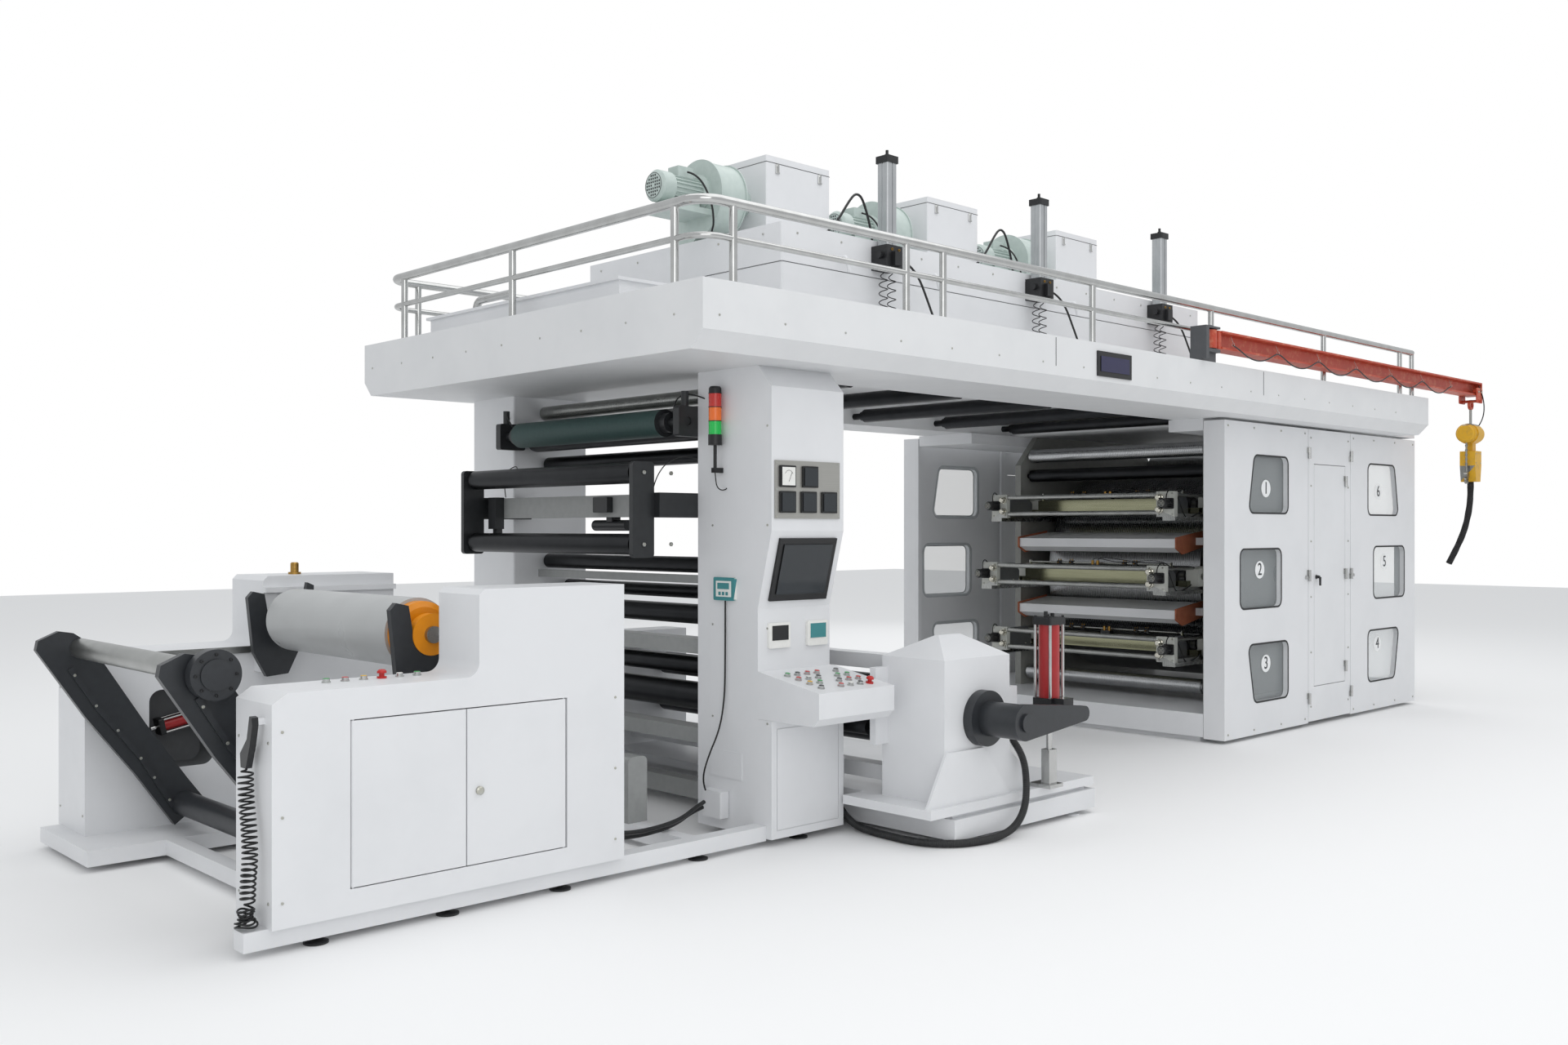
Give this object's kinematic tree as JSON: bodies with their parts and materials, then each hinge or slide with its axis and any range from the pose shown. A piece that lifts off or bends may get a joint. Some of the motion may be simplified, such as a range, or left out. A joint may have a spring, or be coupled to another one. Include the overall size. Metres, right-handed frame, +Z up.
{
  "type": "flexographic printing press",
  "caption": "Central drum web printing press with unwinder, control tower, bridge platform, print housing, rewinder and jib hoist.",
  "frame": {"origin": "on the floor under the axis of the central drum, on the web's centre line", "axes": "+X along the web towards the print housing, -Y towards the operator's side, +Z up"},
  "size_m": [11.6841, 4.104, 3.892],
  "materials": {
    "aluminium_tube": "drawn cylinder tube with black caps",
    "black_fabric": "black woven sleeve",
    "black_hose": "black hose",
    "black_paint": "black powder coat",
    "blower_paint": "grey-green enamel",
    "bright_steel": "ground steel",
    "button_plastic": "moulded buttons in steel collars",
    "dark_glass": "dark display glass",
    "dark_steel": "dark anodised roller shell",
    "film_roll": "grey film wound tight",
    "green_rubber": "dark teal rubber cover",
    "grey_paint": "grey paint on machined plates",
    "lamp_lens": "red, amber and green lenses on a black base",
    "orange_paint": "orange-red paint, worn at the edges",
    "polished_steel": "polished stainless tube",
    "red_paint": "red anodised and painted cylinder",
    "white_paint": "smooth white powder coat",
    "window_glass": "clear pane",
    "yellow_paint": "yellow enamel with chain"
  },
  "bodies": {
    "press": {"arm_cylinder": "red_paint", "blow_gun": "black_paint", "blowers": "blower_paint", "control_cabinet": "white_paint", "control_desk": "white_paint", "curly_hose": "black_hose", "cylinder_coils": "black_hose", "deck_dryers": "white_paint", "deck_heads": "grey_paint", "deck_motors": "black_paint", "deck_tooling": "bright_steel", "displays": "dark_glass", "dryer_box": "white_paint", "floor_sills": "white_paint", "glass_far": "window_glass", "handrail": "polished_steel", "housing_base": "white_paint", "housing_far_wall": "white_paint", "housing_near_frame": "white_paint", "housing_rollers": "dark_steel", "housing_roof": "white_paint", "jib_bracket": "black_paint", "levelling_feet": "black_paint", "lift_cylinders": "aluminium_tube", "low_locker": "white_paint", "nip_roller": "green_rubber", "plate_cylinders": "bright_steel", "platform_deck": "white_paint", "push_buttons": "button_plastic", "rewinder_base": "white_paint", "rewinder_cable": "black_hose", "rewinder_rod": "bright_steel", "rewinder_rollers": "dark_steel", "rewinder_stand": "white_paint", "roll_forks": "black_paint", "side_frames": "grey_paint", "stack_light": "lamp_lens", "tower_beams": "grey_paint", "tower_frames": "white_paint", "tower_idlers": "dark_steel", "unwinder_far_cabinet": "white_paint", "unwinder_near_cabinet": "white_paint", "web_guide_frame": "black_paint"},
    "near_left_door": {"door_near_left": "white_paint", "glass_near_left": "window_glass"},
    "near_right_door": {"door_near_right": "white_paint", "glass_near_right": "window_glass"},
    "service_door_leaf": {"service_door": "white_paint"},
    "cabinet_left_leaf": {"cabinet_door_left": "white_paint"},
    "cabinet_right_leaf": {"cabinet_door_right": "white_paint"},
    "loading_arm_set": {"loading_arms": "black_paint", "loading_bar": "bright_steel"},
    "feed_roll": {"material_roll": "film_roll", "roll_shaft": "orange_paint"},
    "drum": {"central_drum": "bright_steel"},
    "rewinder_arm": {"rewinder_lever": "black_paint"},
    "rewinder_barrel": {"rewinder_cylinder": "red_paint"},
    "jib": {"jib_beam": "orange_paint"},
    "hoist": {"chain_hoist": "yellow_paint", "hoist_sleeve": "black_fabric"}
  },
  "joints": [
    {"name": "near_left_door_hinge", "type": "hinge", "parent": "press", "child": "near_left_door", "pos_m": [-0.39, -1.427, 1.2], "axis": [0, 0, 1], "range_deg": [0, 90]},
    {"name": "near_right_door_hinge", "type": "hinge", "parent": "press", "child": "near_right_door", "pos_m": [0.39, -1.427, 1.2], "axis": [0, 0, -1], "range_deg": [0, 90]},
    {"name": "service_door_hinge", "type": "hinge", "parent": "press", "child": "service_door_leaf", "pos_m": [0.285, -1.427, 1.2], "axis": [0, 0, 1], "range_deg": [0, 90]},
    {"name": "cabinet_left_hinge", "type": "hinge", "parent": "press", "child": "cabinet_left_leaf", "pos_m": [-8.615, -1.45, 0.53], "axis": [0, 0, -1], "range_deg": [0, 100]},
    {"name": "cabinet_right_hinge", "type": "hinge", "parent": "press", "child": "cabinet_right_leaf", "pos_m": [-7.635, -1.45, 0.53], "axis": [0, 0, 1], "range_deg": [0, 100]},
    {"name": "loading_arm_lift", "type": "hinge", "parent": "press", "child": "loading_arm_set", "pos_m": [-8.52, 0, 0.232], "axis": [0, 1, 0], "range_deg": [-45, 48]},
    {"name": "feed_roll_spin", "type": "hinge", "parent": "press", "child": "feed_roll", "pos_m": [-8, 0, 1.13], "axis": [0, 1, 0], "continuous": true},
    {"name": "drum_spin", "type": "hinge", "parent": "press", "child": "drum", "pos_m": [0, 0, 1.22], "axis": [0, 1, 0], "continuous": true},
    {"name": "rewinder_arm_swing", "type": "hinge", "parent": "press", "child": "rewinder_arm", "pos_m": [-5.45, -2.04, 0.624], "axis": [0, -1, 0], "range_deg": [-10, 10]},
    {"name": "rewinder_barrel_stroke", "type": "slide", "parent": "press", "child": "rewinder_barrel", "axis": [0, 0, 1], "range_m": [-0.0908, 0.0908]},
    {"name": "jib_swing", "type": "hinge", "parent": "press", "child": "jib", "pos_m": [-2.48, -1.685, 2.9], "axis": [0, 0, -1], "range_deg": [0, 90]},
    {"name": "trolley_run", "type": "slide", "parent": "jib", "child": "hoist", "axis": [-1, 0, 0], "range_m": [0, 0.3]}
  ],
  "couplings": [
    {"joint": "rewinder_barrel_stroke", "follows": "rewinder_arm_swing", "m_per_rad": 0.52}
  ]
}
